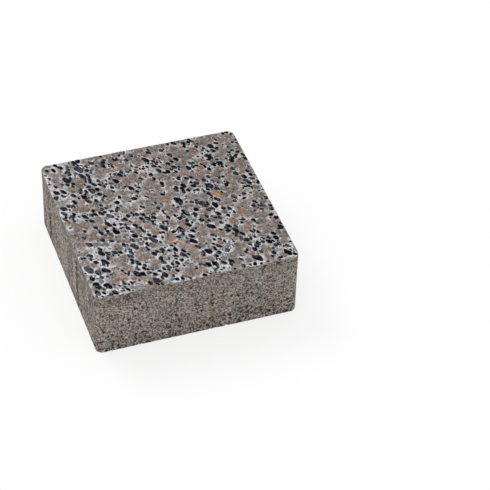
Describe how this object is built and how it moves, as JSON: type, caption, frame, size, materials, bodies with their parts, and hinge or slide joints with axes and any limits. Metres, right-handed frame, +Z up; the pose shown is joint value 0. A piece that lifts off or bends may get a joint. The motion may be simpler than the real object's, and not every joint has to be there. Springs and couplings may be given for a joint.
{
  "type": "concrete paver",
  "caption": "Square pressed-concrete paving block with a washed stone-chip wearing face, rounded corners and spacer nibs on its sides; lies on a sand or mortar bed.",
  "frame": {"origin": "middle of the bed face, which is the underside that the paver lies on", "axes": "+Z up, from the bed face to the wearing face; X and Y square to the sides; the picture looks at the -Y and -X sides"},
  "size_m": [0.2014, 0.2014, 0.07],
  "materials": {
    "concrete": "pressed grey-brown concrete, its top washed to show black, pink-brown and pale stone chips in a light cement matrix"
  },
  "bodies": {
    "root": {"paver": "concrete"}
  },
  "joints": []
}
